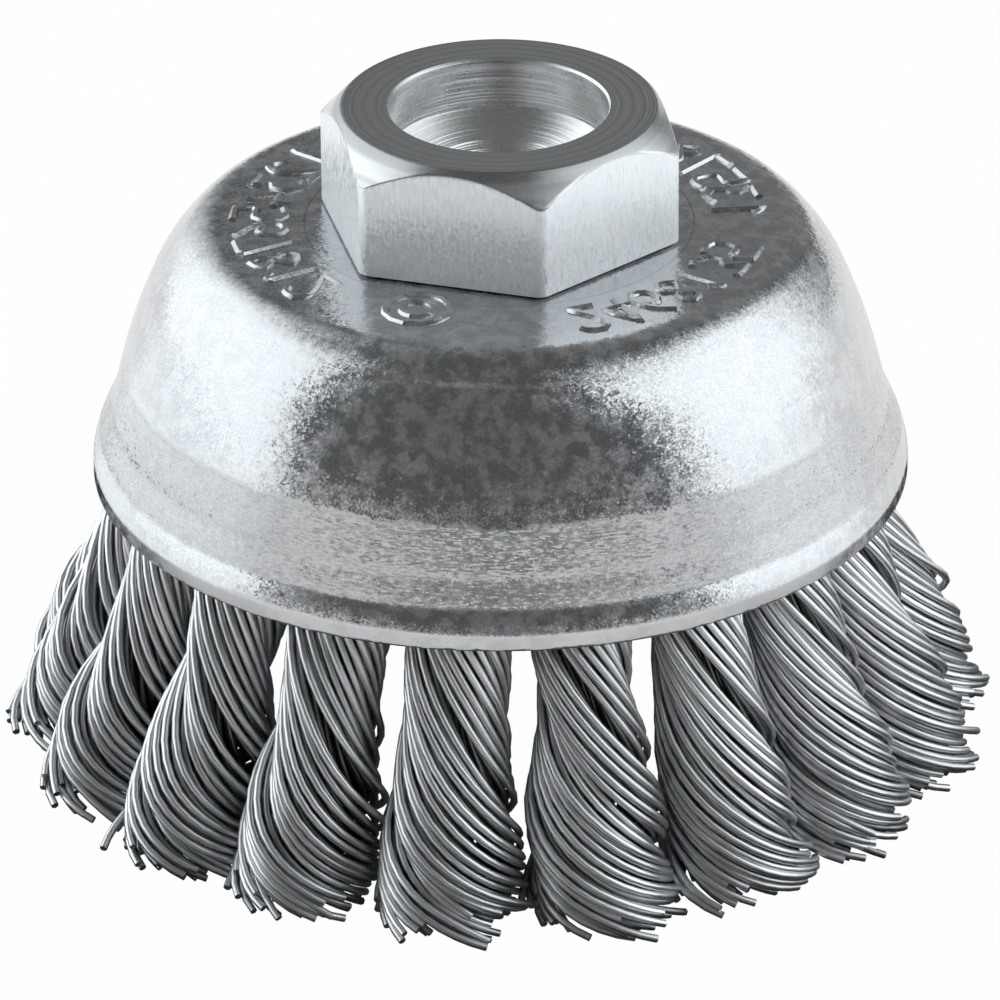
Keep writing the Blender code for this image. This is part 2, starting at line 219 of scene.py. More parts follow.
# Plain digits as strokes: across from 0 to 2 and up from 0 to 4
DIGITS = {
    "1": ((0.3, 3.2), (1, 4), (1, 0)),
    "2": ((0, 3.2), (0.5, 3.9), (1.5, 3.9), (2, 3.1), (1.6, 2), (0, 0), (2, 0)),
    "3": ((0, 4), (2, 4), (1, 2.4), (1.8, 2.1), (2, 0.8), (1, 0), (0, 0.4)),
    "4": ((1.5, 0), (1.5, 4), (0, 1.2), (2.1, 1.2)),
    "5": ((2, 4), (0, 4), (0, 2.3), (1.5, 2.5), (2, 1.6), (1.8, 0.4), (1, 0), (0, 0.3)),
    "6": ((1.8, 3.9), (0.5, 2.8), (0, 1.2), (0.4, 0.2), (1.5, 0.1), (2, 1.2), (1.4, 2.2), (0.2, 1.8)),
    "7": ((0, 4), (2, 4), (0.8, 0)),
    "8": ((1, 2.1), (0.1, 3), (1, 4), (1.9, 3), (1, 2.1), (0, 1), (1, 0), (2, 1), (1, 2.1)),
}
# Rows of digits on the crown: the middle of each row, in degrees from the camera's side
MARK_ROWS = (("1234567812", -90), ("2468135", 47), ("13578", 113))
MARK_STEP = 8.6

# Marks in the finishes, in millimetres: levels or radii between which a change runs, and lines
LIP_EDGE = (19.78, 19.86)
LAND_END = (20.35, 20.6)
BAND_FOOT = (21.8, 22.3)
STEP_TOP = (24.1, 24.8)
BAND_TOP = (26.9, 27.3)
DRAWN_LINE = 27.2
CREASE_LINE = 35.7
SCRIBED_CIRCLE = 13.2
NUT_IMPRINT = 13.65
FLATS_CLEAR = (39.5, 46.5)
NUT_END = (46.0, 46.08)
COUNTERBORE_EDGE = (7.4, 7.6)
GROOVE_PITCH = 0.17

# Colours of the metals: the darkest and the lightest of each
PLATING_TONES = ((0.51, 0.52, 0.535), (0.71, 0.72, 0.73))
SCRIBED_TONE = (0.3, 0.3, 0.3)
# Painted shade along the lip's lower edge
PAINTED_LIP_SHADE = (0.2, 0.2, 0.2)
FLAT_TONES = ((0.91, 0.945, 0.975), (0.96, 0.985, 1.0))
TURNED_TONES = ((0.37, 0.38, 0.385), (0.77, 0.78, 0.785))
# Near white: painted light inside the counterbore
BORE_PAINTED_LIGHT = (0.98, 0.98, 0.98)
WIRE_TONES = ((0.1, 0.102, 0.104), (0.98, 0.99, 1.0))
CUT_TONE = (0.68, 0.68, 0.68)
HOLDER_TONES = ((0.33, 0.33, 0.335), (0.48, 0.48, 0.485))


class Signal:
    """A value, colour or vector inside a node tree. Sums and products add Math nodes."""

    def __init__(self, nodes, socket):
        self.nodes = nodes
        self.socket = socket

    def math(self, operation, *values):
        """Result of one Math node on the values given."""
        return self.nodes.node("Math", {"operation": operation}, dict(enumerate(values)))

    def __add__(self, other):
        return self.math("ADD", self, other)

    def __sub__(self, other):
        return self.math("SUBTRACT", self, other)

    def __rsub__(self, other):
        return self.math("SUBTRACT", other, self)

    def __mul__(self, other):
        return self.math("MULTIPLY", self, other)

    __radd__ = __add__
    __rmul__ = __mul__

    def rise(self, low, high):
        """Smooth step from 0 at low to 1 at high."""
        sockets = {"Value": self, "From Min": low, "From Max": high}
        return self.nodes.node("MapRange", {"interpolation_type": "SMOOTHSTEP"}, sockets)


class NodeTree:
    """Nodes of a material or of the world, under construction."""

    def __init__(self, tree):
        self.tree = tree

    def node(self, kind, settings=None, sockets=None, output=0):
        """Add a node of a kind, with its settings first and then the values or links of its sockets."""
        made = self.tree.nodes.new("ShaderNode" + kind)
        for key, value in (settings or {}).items():
            setattr(made, key, value)
        for key, value in (sockets or {}).items():
            self.feed(made.inputs[key], value)
        return Signal(self, made.outputs[output])

    def feed(self, socket, value):
        """Link a signal to a socket, or set the socket to a plain value."""
        if isinstance(value, Signal):
            self.tree.links.new(value.socket, socket)
        else:
            socket.default_value = value


class Finish(NodeTree):
    """A node material under construction, with its Principled shader."""

    def __init__(self, name, colour=None, roughness=0.5, metallic=1.0):
        self.material = bpy.data.materials.new(name)
        self.material.use_nodes = True
        super().__init__(self.material.node_tree)
        self.shader = self.tree.nodes["Principled BSDF"]
        self.set("Roughness", roughness)
        self.set("Metallic", metallic)
        if colour is not None:
            self.set("Base Color", (*colour, 1.0))

    def set(self, name, value):
        """Feed one socket of the Principled shader."""
        self.feed(self.shader.inputs[name], value)

    def show(self, shader):
        """Use another shader than the Principled one."""
        self.feed(self.tree.nodes["Material Output"].inputs["Surface"], shader)

    def glow(self, strength, colour=WHITE, sampled=True):
        """Shine. A dim glow isn't sampled but only met by rays: looking for its light costs too much."""
        self.show(self.node("Emission", sockets={"Color": colour, "Strength": strength}))
        if not sampled:
            self.material.cycles.emission_sampling = "NONE"

    def place(self, stretch=(1.0, 1.0, 1.0)):
        """Object coordinates in millimetres, stretched to draw a pattern out or press it together."""
        spot = self.node("TexCoord", output="Object")
        scale = tuple(value / MM for value in stretch)
        return self.node("VectorMath", {"operation": "MULTIPLY"}, {0: spot, 1: scale})

    def from_axis(self):
        """Distance from the brush's axis in millimetres."""
        return self.node("VectorMath", {"operation": "LENGTH"}, {0: self.place((1, 1, 0))}, "Value")

    def facing(self, azimuth):
        """Cosine of the turn from an azimuth, in degrees from the camera's side, to a place."""
        turn = CAMERA_AZIMUTH + radians(azimuth)
        ahead = self.node("VectorMath", {"operation": "NORMALIZE"}, {0: self.place((1, 1, 0))})
        sockets = {0: ahead, 1: (sin(turn), -cos(turn), 0)}
        return self.node("VectorMath", {"operation": "DOT_PRODUCT"}, sockets, "Value")

    def level(self):
        """Height above the tips in millimetres."""
        return self.node("SeparateXYZ", sockets={0: self.place()}, output="Z")

    def attribute(self, name):
        """Value that each point of the mesh carries under a name."""
        return self.node("Attribute", {"attribute_name": name}, output="Fac")

    def noise(self, vector, size, detail=2.0, roughness=0.5, output="Fac"):
        """Soft random pattern from 0 to 1, with grains of about a size in millimetres."""
        sockets = {"Vector": vector, "Scale": 1 / size, "Detail": detail, "Roughness": roughness}
        return self.node("TexNoise", sockets=sockets, output=output)

    def facets(self, vector, size):
        """Random vectors, each from 0 to 1 and the same all over one small cell."""
        return self.node("TexVoronoi", sockets={"Vector": vector, "Scale": 1 / size}, output="Color")

    def mix(self, share, colour_a, colour_b):
        """Colour between two: the first at a share of 0 and the second at 1."""
        colours = [c if isinstance(c, Signal) else (*c, 1.0) for c in (colour_a, colour_b)]
        return self.node("Mix", {"data_type": "RGBA"}, {0: share, 6: colours[0], 7: colours[1]}, 2)

    def bump(self, height, depth):
        """Relief of a height from 0 to 1 times a depth in millimetres."""
        relief = self.node("Bump", sockets={"Height": height, "Distance": depth * MM, "Strength": 1.0})
        self.set("Normal", relief)

    def centred(self, vector, spread):
        """Random vector from 0 to 1 moved to lie round zero, with a spread to each side."""
        halves = (-spread,) * 3
        doubled = (2 * spread,) * 3
        return self.node("VectorMath", {"operation": "MULTIPLY_ADD"}, {0: vector, 1: doubled, 2: halves})

    def scaled(self, vector, amount):
        """Vector times a number."""
        return self.node("VectorMath", {"operation": "SCALE"}, {0: vector, 3: amount})

    def upward(self, amount):
        """Vector along the brush's axis, of a length."""
        return self.node("CombineXYZ", sockets={0: 0.0, 1: 0.0, 2: amount})

    def lean(self, *leans):
        """Lean the surface's normal over by small vectors, as crystals and wrinkles do."""
        normal = self.node("NewGeometry", output="Normal")
        for added in leans:
            normal = self.node("VectorMath", {"operation": "ADD"}, {0: normal, 1: added})
        self.set("Normal", self.node("VectorMath", {"operation": "NORMALIZE"}, {0: normal}))


def cup_plating():
    """Bright plated sheet: small crystals, dull patches, a drawn line, and a wrinkled band below it. The
    lip's lower edge is painted dark, as painted shade.
    """
    finish = Finish("cup_plating")
    spot, level = finish.place(), finish.level()
    calm = level.rise(*LAND_END)
    facets = finish.facets(spot, 0.11)
    crystals = finish.centred(facets, 0.055)
    shade = (finish.node("SeparateColor", sockets={0: facets}) - 0.5) * calm + 0.5
    swell = finish.centred(finish.noise(spot, 0.5, 1.0, 0.6, "Color"), 0.07)
    cloud = finish.noise(spot, 1.5, 4.0, 0.72)
    dull = cloud.rise(0.42, 0.6)
    wrinkles = finish.noise(finish.place((1, 1, 4.5)), 0.55, 2.0, 0.6)
    below = 1 - (level - cloud * 0.3).rise(*BAND_FOOT)
    band = (1 - below) * (1 - (level - cloud * 0.5).rise(*BAND_TOP))
    step = band * (1 - level.rise(*STEP_TOP))
    radius = finish.from_axis()
    drawn = ring_line(level, DRAWN_LINE + cloud * 0.6, 0.2) * cloud.rise(0.3, 0.6)
    front = finish.facing(0).rise(0.93, 0.98)
    creased = ring_line(level, CREASE_LINE + cloud * 0.5, 0.13) * cloud.rise(0.3, 0.56) * front
    scribed = ring_line(radius, SCRIBED_CIRCLE, 0.06) - ring_line(radius, NUT_IMPRINT, 0.06)
    rise = (wrinkles - 0.5) * (0.08 + band * 0.7 - step * 0.35) + below * 0.08
    rise = rise - band * 0.1 - step * 0.16 - drawn * 0.12
    finish.lean(finish.scaled(crystals, calm), finish.scaled(swell, calm), finish.upward(rise * calm))
    # Painted shade: the lip's lower edge is painted dark, standing in for the shaded floor under the
    # brush that its curled-under edge mirrors. The edge is also made rougher.
    painted_lip_shade = 1 - (level + cloud * 0.5).rise(*LIP_EDGE)
    tone = finish.mix(dull * 0.5 + shade * 0.5, *PLATING_TONES)
    tone = finish.mix(scribed * 0.5, tone, SCRIBED_TONE)
    finish.set("Base Color", finish.mix(painted_lip_shade, tone, PAINTED_LIP_SHADE))
    worn = wrinkles.rise(0.4, 0.62)
    finish.set("Metallic", 1 - dull * 0.12 - band * (0.15 + worn * 0.3) - drawn * 0.2 - creased * 0.3)
    finish.set("Roughness", 0.17 + dull * 0.1 + painted_lip_shade * 0.3)
    return finish.material


def ring_line(distance, at, half_width):
    """Line: 1 where a distance or level has a value, 0 away from it, and a soft step on each side."""
    begun = (distance - at + 2 * half_width).rise(0, half_width)
    return begun * (1 - (distance - at).rise(0, half_width))


def nut_flats():
    """Drawn hexagon bar: grain along the bar under the plating."""
    finish = Finish("nut_flats")
    grain = finish.noise(finish.place((1, 1, 0.2)), 0.16, 3.0, 0.65)
    sideways = finish.noise(finish.place((1, 1, 0.2)), 0.2, 2.0, 0.65, "Color")
    pits = finish.noise(finish.place(), 0.25, 2.0, 0.65, "Color")
    clouds = finish.noise(finish.place(), 2.2, 2.0, 0.5)
    low = 1 - (finish.level() + clouds * 2).rise(*FLATS_CLEAR)
    spread = finish.node("VectorMath", {"operation": "MULTIPLY"}, {0: sideways, 1: (1, 1, 0)})
    spread = finish.node("VectorMath", {"operation": "ADD"}, {0: spread, 1: (-0.5, -0.5, 0)})
    finish.lean(spread, finish.scaled(finish.centred(pits, 0.36), 0.1 + low * 0.9))
    finish.set("Base Color", finish.mix(clouds, *FLAT_TONES))
    finish.set("Metallic", 0.5 - clouds * 0.1 - low * 0.3)
    finish.set("Roughness", 0.18 + grain * 0.1 + low * 0.08)
    return finish.material


def nut_turned():
    """Turned faces: fine grooves round the axis on the end, the cone and in the bore."""
    finish = Finish("nut_turned")
    radius = finish.from_axis()
    level = finish.level()
    along = {"W": radius + level * 0.8, "Scale": 5.0, "Detail": 2.0, "Roughness": 0.7}
    grooves = finish.node("TexNoise", {"noise_dimensions": "1D"}, along)
    specks = finish.noise(finish.place(), 0.4, 2.0, 0.6)
    outwards = finish.node("VectorMath", {"operation": "NORMALIZE"}, {0: finish.place((1, 1, 0))})
    inside = 1 - radius.rise(*COUNTERBORE_EDGE)
    turns = (radius + level) * (2 * pi / GROOVE_PITCH)
    lines = turns.math("SINE", turns) * 0.5 + 0.5
    tilt = grooves - 0.5
    finish.lean(finish.scaled(outwards, tilt * 0.4), finish.upward(tilt * (0.9 + inside * 0.9)))
    tone = grooves.rise(0.38, 0.6) * 0.45 + lines * 0.4 + specks * 0.15
    colour = finish.mix(tone, *TURNED_TONES)
    # Painted light: inside the counterbore the colour goes near white, lighter than the same turned face
    # outside, standing in for the light its wall mirrors.
    finish.set("Base Color", finish.mix(inside * (0.6 + tone * 0.4), colour, BORE_PAINTED_LIGHT))
    finish.set("Metallic", 0.84 + level.rise(*NUT_END) * 0.12 * (1 - inside) + inside * 0.14)
    finish.set("Roughness", 0.24 + specks * 0.08)
    return finish.material


def wire_steel():
    """Drawn steel wire, each one a little lighter or darker at random, with dull patches. The deeper
    layers are painted darker, as painted shade between the outer wires.
    """
    finish = Finish("wire_steel")
    # Each wire's random tone, lowered for the deeper layers as painted shade
    tone = finish.attribute("wire_tone_and_layer_shade")
    patches = finish.noise(finish.place(), 1.6, 1.0, 0.6)
    share = tone * 0.75 + patches * 0.25
    finish.set("Base Color", finish.mix(share, *WIRE_TONES))
    finish.set("Roughness", 0.34 + patches * 0.1)
    return finish.material


def wire_ends():
    """Sheared end faces: bright and coarse."""
    finish = Finish("wire_ends", CUT_TONE, 0.4)
    tear = finish.facets(finish.place(), 0.12)
    finish.lean(finish.centred(tear, 0.3))
    return finish.material


def holder_steel():
    """Plain pressed steel with a dull oiled skin."""
    finish = Finish("holder_steel")
    clouds = finish.noise(finish.place(), 3.0, 3.0, 0.6)
    grain = finish.noise(finish.place(), 0.25, 2.0, 0.6)
    finish.bump(grain, 0.015)
    finish.set("Base Color", finish.mix(clouds, *HOLDER_TONES))
    finish.set("Roughness", 0.34 + clouds * 0.18)
    return finish.material


def lattice(rows, columns, wrap_rows=False, wrap_columns=True):
    """Four-cornered faces between neighbouring points of a grid, numbered row by row."""
    index = np.arange(rows * columns).reshape(rows, columns)
    if wrap_rows:
        index = np.vstack([index, index[:1]])
    if wrap_columns:
        index = np.hstack([index, index[:, :1]])
    corners = [index[:-1, :-1], index[:-1, 1:], index[1:, 1:], index[1:, :-1]]
    return np.stack(corners, axis=-1).reshape(-1, 4)


def signed_volume(points, polygons):
    """Six times the volume inside closed faces: the triple product of each fan of corners."""
    total = 0.0
    for corners in polygons:
        first = points[corners[:, 0]]
        for turn in range(1, corners.shape[1] - 1):
            second, third = points[corners[:, turn]], points[corners[:, turn + 1]]
            total += np.einsum("ij,ij->", first, np.cross(second, third))
    return total


def add_piece(name, points, polygons, materials, marks=None, smooth_angle=40):
    """Closed mesh from points and groups of faces, turned outwards, with one finish for each group."""
    points = points.reshape(-1, 3)
    if signed_volume(points, polygons) < 0:
        polygons = [corners[:, ::-1] for corners in polygons]
    corners = np.concatenate([group.ravel() for group in polygons])
    sizes = np.concatenate([np.full(len(group), group.shape[1]) for group in polygons])
    starts = np.concatenate([[0], np.cumsum(sizes)[:-1]])
    mesh = bpy.data.meshes.new(name)
    mesh.vertices.add(len(points))
    mesh.vertices.foreach_set("co", points.astype(np.float32).ravel())
    mesh.loops.add(len(corners))
    mesh.loops.foreach_set("vertex_index", corners.astype(np.int32))
    mesh.polygons.add(len(sizes))
    mesh.polygons.foreach_set("loop_start", starts.astype(np.int32))
    order = list(dict.fromkeys(materials))
    for material in order:
        mesh.materials.append(material)
    slots = np.concatenate([np.full(len(g), order.index(m)) for g, m in zip(polygons, materials)])
    mesh.polygons.foreach_set("material_index", slots.astype(np.int32))
    mesh.update(calc_edges=True)
    for key, values in (marks or {}).items():
        mark = mesh.attributes.new(key, "FLOAT", "POINT")
        mark.data.foreach_set("value", values.astype(np.float32).ravel())
    mesh.shade_smooth()
    mesh.set_sharp_from_angle(angle=radians(smooth_angle))
    piece = bpy.data.objects.new(name, mesh)
    bpy.context.scene.collection.objects.link(piece)
    return piece


def dress(piece, slot, *nodes):
    """The piece stands for its solids and rides on the one body."""
    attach(piece, "root")
    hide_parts(*nodes)


def span(start, end, count, include_end=False):
    """Even steps from a start up to an end, which is left out unless it is asked for."""
    return np.linspace(start, end, count, endpoint=include_end)


class Outline:
    """Half section as a chain of tangent lines and arcs, running outwards and down.

    Each point keeps its radius, level and slope. A wall is the same chain set in along its normal.
    """

    def __init__(self, radius, level):
        self.points = np.array([[radius, level, 0.0]])

    def line(self, length, steps=1):
        """Go straight on: the radius grows by the cosine of the slope, the level falls by its sine."""
        radius, level, slope = self.points[-1]
        along = span(0, length, steps + 1, True)[1:]
        added = np.stack([radius + along * cos(slope), level - along * sin(slope), slope + 0 * along], 1)
        self.points = np.vstack([self.points, added])
        return self

    def arc(self, bend, slope, steps):
        """Turn to a slope on a bend radius, which is negative for a hollow bend."""
        radius, level, start = self.points[-1]
        at = span(start, slope, steps + 1, True)[1:]
        out = radius + bend * (np.sin(at) - sin(start))
        down = level - bend * (cos(start) - np.cos(at))
        self.points = np.vstack([self.points, np.stack([out, down, at], 1)])
        return self

    def wall(self, thickness):
        """Closed section: out along the outer face and back along the same face, set in."""
        radius, level, slope = self.points.T
        outer = np.stack([radius, level], 1)
        inner = np.stack([radius - thickness * np.sin(slope), level - thickness * np.cos(slope)], 1)
        return np.vstack([outer, inner[::-1]])


def turned(section, columns):
    """Points of a section carried round the axis: radius times the sine and cosine of the turn."""
    turn = span(0, 2 * pi, columns)
    radius, level = section[:, :1], section[:, 1:]
    return np.stack([radius * np.sin(turn), -radius * np.cos(turn), level + 0 * turn], axis=-1)


def cup_outline():
    """Outer face of the cup: crown, shoulder, haunch, tapered wall, step out and upright land."""

    def bends(wall_length):
        """Face from the crown's edge to the lip, with the straight wall of a length."""
        face = Outline(0.0, CROWN_LEVEL)
        face.arc(SHOULDER_BEND, SHOULDER_SLOPE, 14)
        face.arc(HAUNCH_BEND, HAUNCH_SLOPE, 8)
        face.arc(BELLY_BEND, WALL_SLOPE, 8)
        face.line(wall_length, 4)
        face.arc(-STEP_BEND, STEP_SLOPE, 5)
        face.line(STEP_FLARE, 2)
        face.arc(BAND_BEND, BAND_SLOPE, 6)
        face.arc(LAND_BEND, LAND_SLOPE, 4)
        return face.line(LIP_LAND, 4)

    drop = CROWN_LEVEL - bends(0.0).points[-1, 1]
    shoulder = bends((CROWN_LEVEL - LIP_LEVEL - drop) / sin(WALL_SLOPE))
    crown_edge = LIP_RADIUS - shoulder.points[-1, 0]
    face = Outline(HOLE_IN_CUPS, CROWN_LEVEL).line(crown_edge - HOLE_IN_CUPS, 12)
    face.points = np.vstack([face.points, shoulder.points[1:] + [crown_edge, 0, 0]])
    return face


def bead_paths():
    """Raised strokes on the crown: rows of plain digits, and a round stamp of two rings.

    A digit's height runs out from the axis and its width along the row's circle.
    """
    paths = []
    for digits, middle in MARK_ROWS:
        for place, digit in enumerate(digits):
            azimuth = CAMERA_AZIMUTH + radians(middle + (place - (len(digits) - 1) / 2) * MARK_STEP)
            stroke = resampled(np.array(DIGITS[digit], float))
            across = (stroke[:, 0] - 1) / 2 * MARK_WIDTH
            out = MARK_FOOT + stroke[:, 1] / 4 * MARK_HEIGHT
            paths.append(on_crown(azimuth, across, out))
    turn = span(0, 2 * pi, BEAD_STATIONS, True)
    for ring in STAMP_RADII:
        azimuth = CAMERA_AZIMUTH + radians(STAMP_PLACE[0])
        paths.append(on_crown(azimuth, ring * np.sin(turn), STAMP_PLACE[1] + ring * np.cos(turn)))
    return np.array(paths)


def resampled(corners):
    """Points at even steps along a chain of corners."""
    reach = np.concatenate([[0], np.cumsum(np.linalg.norm(np.diff(corners, axis=0), axis=1))])
    steps = span(0, reach[-1], BEAD_STATIONS, True)
    return np.stack([np.interp(steps, reach, corners[:, axis]) for axis in (0, 1)], axis=1)


def on_crown(azimuth, across, out):
    """Place across and out from the axis, turned round it to an azimuth."""
    x = out * sin(azimuth) + across * cos(azimuth)
    y = -out * cos(azimuth) + across * sin(azimuth)
    return np.stack([x, y, CROWN_LEVEL - BEAD_SUNK + 0 * across], axis=1)


def make_cup(plating):
    """Cup turned from its section, with the raised marks as round beads half sunk in its crown."""
    section = rounded_ends(cup_outline().wall(CUP_WALL))
    points = turned(section, CUP_COLUMNS).reshape(-1, 3)
    wall = [lattice(len(section), CUP_COLUMNS, wrap_rows=True)]
    beads, skins, caps = tubes(bead_paths(), BEAD_RADIUS, BEAD_SIDES)
    if signed_volume(beads, [skins, caps]) * signed_volume(points, wall) < 0:
        skins, caps = skins[:, ::-1], caps[:, ::-1]
    faces = [*wall, skins + len(points), caps + len(points)]
    cup = add_piece("plated_cup", np.vstack([points, beads]), faces, [plating] * 3)
    dress(cup, "cup_plating", "cup_shell")


def rounded_ends(section):
    """Break the corners of a closed wall: each sharp point becomes two, a little along its sides."""
    before = np.roll(section, 1, axis=0) - section
    after = np.roll(section, -1, axis=0) - section
    reach_before = np.linalg.norm(before, axis=1, keepdims=True)
    reach_after = np.linalg.norm(after, axis=1, keepdims=True)
    turn = np.sum(before * after, axis=1, keepdims=True) / (reach_before * reach_after)
    cut = np.minimum(2 * EDGE_BREAK, 0.4 * np.minimum(reach_before, reach_after))
    first = section + before / reach_before * cut
    second = section + after / reach_after * cut
    sharp = (turn > -0.8).ravel()
    kept = np.where(sharp[:, None], first, section)
    doubled = np.stack([kept, second], axis=1).reshape(-1, 2)
    chosen = np.stack([np.ones_like(sharp), sharp], axis=1).ravel()
    return doubled[chosen]


def hexagon_radius(turn):
    """Distance from the axis to the hexagon's side: half the flats over the cosine from the
    nearest flat, and on a corner the far crossing with the corner's own circle."""
    half = NUT_ACROSS_FLATS / 2
    from_flat = (turn + pi / 6) % (pi / 3) - pi / 6
    side = half / np.cos(from_flat)
    centre = (half - NUT_CORNER_RADIUS) / cos(pi / 6)
    off_corner = pi / 6 - np.abs(from_flat)
    inside = np.maximum(NUT_CORNER_RADIUS**2 - (centre * np.sin(off_corner)) ** 2, 0)
    corner = centre * np.cos(off_corner) + np.sqrt(inside)
    ends_at = np.arctan2(half * tan(pi / 6) - NUT_CORNER_RADIUS * tan(pi / 6), half)
    return np.where(np.abs(from_flat) > ends_at, corner, side)


def nut_turns():
    """Turns round the nut, in sixths: even steps over a flat, and finer ones over the corner's round."""
    flat = np.linspace(-CORNER_FROM_FLAT, CORNER_FROM_FLAT, FLAT_STATIONS)
    corner = np.linspace(CORNER_FROM_FLAT, 60 - CORNER_FROM_FLAT, CORNER_STATIONS)[1:-1]
    sixth = np.radians(np.concatenate([flat, corner]))
    return (sixth + span(0, 2 * pi, 6)[:, None]).ravel()


def thread_radius(turn, level, start):
    """Bore radius on the thread: a V of the pitch, its place moved on by one pitch a turn.

    Its sides rise by 2.6 thread depths a pitch, and its root and crest are flat.
    """
    phase = (level / THREAD_PITCH - turn / (2 * pi)) % 1.0
    groove = np.clip(1.25 - np.abs(phase - 0.5) * 2.6, 0, 1)
    fade = np.clip((start - level) / (0.8 * THREAD_PITCH), 0, 1)
    return THREAD_MINOR_RADIUS + THREAD_DEPTH * groove * fade


def nut_rows(turn):
    """Rows of radius and level from the shank up the outside, over the top and down the bore,
    and the rows where the flats begin and end."""
    side = hexagon_radius(turn)
    seat = CROWN_LEVEL + SEAM
    edge = NUT_TOP_LEVEL - (side - NUT_TOP_RADIUS) * tan(NUT_CHAMFER_ANGLE)
    relief = side - NUT_BASE_RELIEF
    relief_top = seat + NUT_BASE_RELIEF * tan(NUT_RELIEF_ANGLE)
    rows = [(SHANK_RADIUS, STAKE_LEVEL), (SHANK_RADIUS, seat)]
    rows += [(relief * 0.9, seat), (relief - EDGE_BREAK, seat), (relief, seat + 0.3 * EDGE_BREAK)]
    first_flat = len(rows) - 1
    rows += [(side, relief_top), (side, relief_top + 2 * EDGE_BREAK)]
    for share in (0.25, 0.5, 0.75):
        rows.append((side, relief_top + (edge - relief_top) * share))
    rows += [(side, edge - 3 * EDGE_BREAK), (side, edge - EDGE_BREAK)]
    last_flat = len(rows) - 1
    cone = (side - NUT_TOP_RADIUS) / cos(NUT_CHAMFER_ANGLE)
    for along in (EDGE_BREAK, 3 * EDGE_BREAK):
        rows.append(cone_point(side, edge, np.minimum(along, cone * 0.45)))
    for share in (0.5, 0.75):
        rows.append(cone_point(side, edge, cone * share))
    rows.append(cone_point(side, edge, np.maximum(cone - 2 * EDGE_BREAK, cone * 0.55)))
    rows.append(cone_point(side, edge, np.maximum(cone - EDGE_BREAK / 2, cone * 0.8)))
    lip = COUNTERBORE_RADIUS + COUNTERBORE_LIP
    for radius in (*span(NUT_TOP_RADIUS - EDGE_BREAK / 2, lip + 2 * EDGE_BREAK, 6, True), lip):
        rows.append((radius, NUT_TOP_LEVEL))
    floor = NUT_TOP_LEVEL - COUNTERBORE_DEPTH
    mouth = THREAD_MINOR_RADIUS + THREAD_MOUTH_CHAMFER
    mouth_level = floor - (COUNTERBORE_RADIUS - mouth) / tan(DRILL_POINT_ANGLE / 2)
    rows.append((COUNTERBORE_RADIUS, NUT_TOP_LEVEL - COUNTERBORE_LIP))
    for level in span(NUT_TOP_LEVEL - 2 * COUNTERBORE_LIP, floor, 5, True):
        rows.append((COUNTERBORE_RADIUS, level))
    for share in (0.08, 0.5, 0.92, 1.0):
        radius = COUNTERBORE_RADIUS + (mouth - COUNTERBORE_RADIUS) * share
        rows.append((radius, floor + (mouth_level - floor) * share))
    start = mouth_level - THREAD_MOUTH_CHAMFER
    end = STAKE_LEVEL - STAKE_THICKNESS
    for level in span(start, end + THREAD_MOUTH_CHAMFER, THREAD_STATIONS, True):
        rows.append((thread_radius(turn, level, start), level))
    slant = STAKE_THICKNESS / 2
    rows += [(mouth, end), (STAKE_RADIUS - slant, end)]
    rows += [(STAKE_RADIUS, end + slant), (STAKE_RADIUS, STAKE_LEVEL)]
    return rows, first_flat, last_flat


def cone_point(side, edge, along):
    """Point on the turned cone, a distance up it from the hexagon's edge."""
    return side - along * cos(NUT_CHAMFER_ANGLE), edge + along * sin(NUT_CHAMFER_ANGLE)


def make_nut(flats, turned_face):
    """Nut as rows carried round the axis: the drawn finish on its flats and the turned one elsewhere."""
    turn = nut_turns()
    rows, first_flat, last_flat = nut_rows(turn)
    radius = np.array([row[0] + 0 * turn for row in rows])
    level = np.array([row[1] + 0 * turn for row in rows])
    points = np.stack([radius * np.sin(turn), -radius * np.cos(turn), level], axis=-1)
    faces = lattice(len(rows), len(turn), wrap_rows=True)
    groups = np.split(faces, [first_flat * len(turn), last_flat * len(turn)])
    nut = add_piece("plated_nut", points, groups, [turned_face, flats, turned_face], smooth_angle=35)
    dress(nut, "nut_plating", "arbor_nut")


def knot_axis_radius(level):
    """Distance of a knot's middle line from the brush's axis: it grows downwards by the lean."""
    return KNOT_AXIS_AT_LIP + (LIP_LEVEL - level) * tan(KNOT_LEAN)


def skirt_point(along, out):
    """Radius and level in the plane of one knot, from the holder's edge along and out of its skirt."""
    radius = knot_axis_radius(HOLDER_EDGE_LEVEL) - along * sin(KNOT_LEAN) + out * cos(KNOT_LEAN)
    level = HOLDER_EDGE_LEVEL + along * cos(KNOT_LEAN) + out * sin(KNOT_LEAN)
    return radius, level


def holder_section():
    """Closed section of the holder: flat hub, bend and skirt, which ends where the knots' folds begin."""
    slope = pi / 2 - KNOT_LEAN
    edge_radius, edge_level = skirt_point(0.0, HOLDER_WALL / 2)
    bend = Outline(0.0, HOLDER_TOP_LEVEL).arc(HOLDER_INSIDE_BEND + HOLDER_WALL, slope, 10)
    drop = HOLDER_TOP_LEVEL - bend.points[-1, 1]
    bend.line((HOLDER_TOP_LEVEL - edge_level - drop) / sin(slope), 6)
    hub_edge = edge_radius - bend.points[-1, 0]
    face = Outline(HOLE_IN_CUPS, HOLDER_TOP_LEVEL).line(hub_edge - HOLE_IN_CUPS, 4)
    face.points = np.vstack([face.points, bend.points[1:] + [hub_edge, 0, 0]])
    return rounded_ends(face.wall(HOLDER_WALL))


